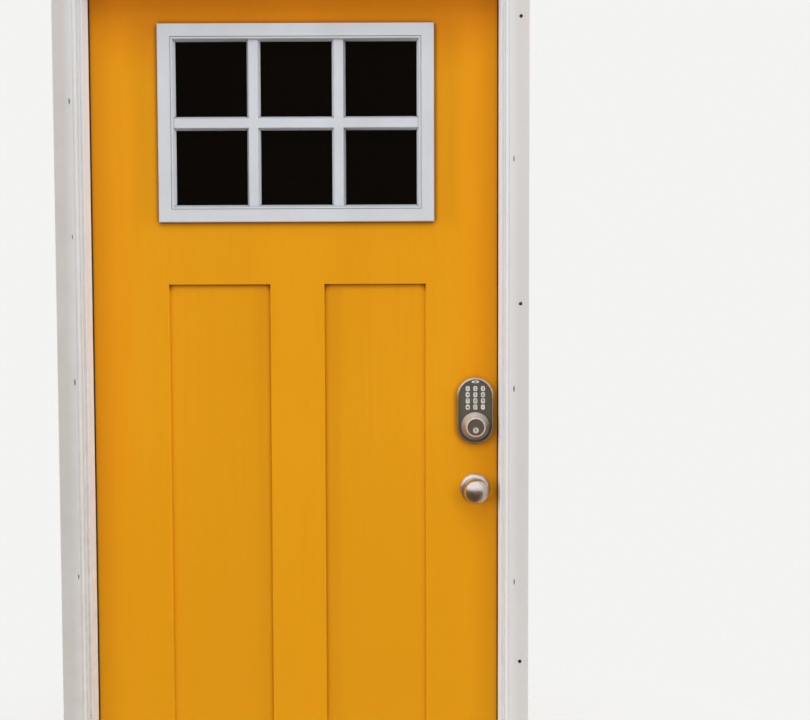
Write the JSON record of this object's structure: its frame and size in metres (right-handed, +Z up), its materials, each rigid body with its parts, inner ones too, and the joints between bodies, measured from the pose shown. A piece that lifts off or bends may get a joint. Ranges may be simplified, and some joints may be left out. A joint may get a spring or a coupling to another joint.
{
  "type": "panelled entry door in its frame",
  "caption": "Inward-opening entry door hung in its trimmed frame, with recessed panels, a small divided window, a keypad deadbolt and a knob latch.",
  "frame": {"origin": "under the middle of the sill, on the face that stands on the floor, half-way through the sill's depth", "axes": "+Z up, +Y into the house, +X towards the lock side"},
  "size_m": [1.0032, 0.2098, 2.0996],
  "materials": {
    "painted_wood": "warm white satin paint",
    "sill_core": "bare",
    "sill_metal": "mill finish",
    "cap_plastic": "satin",
    "strip_foam": "dark brown skin",
    "hinge_metal": "satin nickel plate",
    "screw_metal": "satin nickel plate",
    "plate_metal": "satin nickel plate",
    "door_paint": "orange satin paint on a smooth moulded skin",
    "stile_wood": "bare",
    "core_foam": "foam",
    "sweep_vinyl": "matt",
    "lite_plastic": "white satin",
    "clear_glass": "clear",
    "spacer_metal": "mill finish",
    "satin_nickel": "satin nickel",
    "keypad_plastic": "dark bronze",
    "key_plastic": "pale grey",
    "inside_plastic": "satin nickel paint",
    "cell_wrap": "plain wrap"
  },
  "bodies": {
    "frame": {"hinge_jamb": "painted_wood", "strike_jamb": "painted_wood", "head_jamb": "painted_wood", "brickmould_hinge_side": "painted_wood", "brickmould_strike_side": "painted_wood", "brickmould_head": "painted_wood", "sill_substrate": "sill_core", "sill_deck": "sill_metal", "sill_cap": "cap_plastic", "weatherstrips": "strip_foam", "frame_hinge_leaves": "hinge_metal", "hinge_pins": "hinge_metal", "frame_screws": "screw_metal", "strike_plates": "plate_metal"},
    "door": {"outer_skin": "door_paint", "inner_skin": "door_paint", "hinge_stile": "stile_wood", "lock_stile": "stile_wood", "top_rail": "stile_wood", "bottom_rail": "stile_wood", "foam_core": "core_foam", "door_sweep": "sweep_vinyl", "outer_lite_frame": "lite_plastic", "inner_lite_frame": "lite_plastic", "outer_glass": "clear_glass", "inner_glass": "clear_glass", "glass_spacer": "spacer_metal", "lite_screws": "screw_metal", "door_hinge_leaves": "hinge_metal", "door_screws": "screw_metal", "outer_rose": "satin_nickel", "inner_rose": "satin_nickel", "latch_case": "plate_metal", "deadbolt_case": "plate_metal", "keypad_housing": "satin_nickel", "keypad_face": "keypad_plastic", "cylinder_collar": "satin_nickel", "inner_lock_housing": "inside_plastic", "batteries": "cell_wrap", "lock_screws": "screw_metal"},
    "knobs": {"outer_knob": "satin_nickel", "inner_knob": "satin_nickel", "spindle": "satin_nickel"},
    "latch": {"latch_bolt": "plate_metal"},
    "turn": {"thumb_turn": "satin_nickel"},
    "bolt": {"deadbolt": "plate_metal"},
    "plug": {"cylinder_plug": "satin_nickel"},
    "cover": {"battery_cover": "inside_plastic"},
    "pad_1": {"key_1": "key_plastic"},
    "pad_2": {"key_2": "key_plastic"},
    "pad_3": {"key_3": "key_plastic"},
    "pad_4": {"key_4": "key_plastic"},
    "pad_5": {"key_5": "key_plastic"},
    "pad_6": {"key_6": "key_plastic"},
    "pad_7": {"key_7": "key_plastic"},
    "pad_8": {"key_8": "key_plastic"},
    "pad_9": {"key_9": "key_plastic"},
    "pad_lock": {"key_lock": "key_plastic"},
    "pad_0": {"key_0": "key_plastic"},
    "pad_enter": {"key_enter": "key_plastic"}
  },
  "joints": [
    {"name": "door_swing", "type": "hinge", "parent": "frame", "child": "door", "pos_m": [-0.4556, 0.0857, 1], "axis": [0, 0, 1], "range_deg": [0, 170]},
    {"name": "knob_turn", "type": "hinge", "parent": "door", "child": "knobs", "pos_m": [0.3937, 0, 0.933], "axis": [0, 1, 0], "range_deg": [0, 60]},
    {"name": "latch_slide", "type": "slide", "parent": "door", "child": "latch", "axis": [1, 0, 0], "range_m": [0, 0.0115]},
    {"name": "thumb_turning", "type": "hinge", "parent": "door", "child": "turn", "pos_m": [0.3937, 0, 1.0727], "axis": [0, 1, 0], "range_deg": [0, 90]},
    {"name": "deadbolt_slide", "type": "slide", "parent": "door", "child": "bolt", "axis": [1, 0, 0], "range_m": [0, 0.0254]},
    {"name": "plug_turn", "type": "hinge", "parent": "door", "child": "plug", "pos_m": [0.3937, 0, 1.0662], "axis": [0, 1, 0], "range_deg": [-90, 90]},
    {"name": "cover_slide", "type": "slide", "parent": "door", "child": "cover", "axis": [0, 0, 1], "range_m": [0, 0.085]},
    {"name": "press_1", "type": "slide", "parent": "door", "child": "pad_1", "axis": [0, 1, 0], "range_m": [0, 0.001], "stiffness_N_per_m": 800},
    {"name": "press_2", "type": "slide", "parent": "door", "child": "pad_2", "axis": [0, 1, 0], "range_m": [0, 0.001], "stiffness_N_per_m": 800},
    {"name": "press_3", "type": "slide", "parent": "door", "child": "pad_3", "axis": [0, 1, 0], "range_m": [0, 0.001], "stiffness_N_per_m": 800},
    {"name": "press_4", "type": "slide", "parent": "door", "child": "pad_4", "axis": [0, 1, 0], "range_m": [0, 0.001], "stiffness_N_per_m": 800},
    {"name": "press_5", "type": "slide", "parent": "door", "child": "pad_5", "axis": [0, 1, 0], "range_m": [0, 0.001], "stiffness_N_per_m": 800},
    {"name": "press_6", "type": "slide", "parent": "door", "child": "pad_6", "axis": [0, 1, 0], "range_m": [0, 0.001], "stiffness_N_per_m": 800},
    {"name": "press_7", "type": "slide", "parent": "door", "child": "pad_7", "axis": [0, 1, 0], "range_m": [0, 0.001], "stiffness_N_per_m": 800},
    {"name": "press_8", "type": "slide", "parent": "door", "child": "pad_8", "axis": [0, 1, 0], "range_m": [0, 0.001], "stiffness_N_per_m": 800},
    {"name": "press_9", "type": "slide", "parent": "door", "child": "pad_9", "axis": [0, 1, 0], "range_m": [0, 0.001], "stiffness_N_per_m": 800},
    {"name": "press_lock", "type": "slide", "parent": "door", "child": "pad_lock", "axis": [0, 1, 0], "range_m": [0, 0.001], "stiffness_N_per_m": 800},
    {"name": "press_0", "type": "slide", "parent": "door", "child": "pad_0", "axis": [0, 1, 0], "range_m": [0, 0.001], "stiffness_N_per_m": 800},
    {"name": "press_enter", "type": "slide", "parent": "door", "child": "pad_enter", "axis": [0, 1, 0], "range_m": [0, 0.001], "stiffness_N_per_m": 800}
  ],
  "couplings": [
    {"joint": "latch_slide", "follows": "knob_turn", "m_per_rad": 0.010981},
    {"joint": "deadbolt_slide", "follows": "thumb_turning", "m_per_rad": 0.01617}
  ]
}
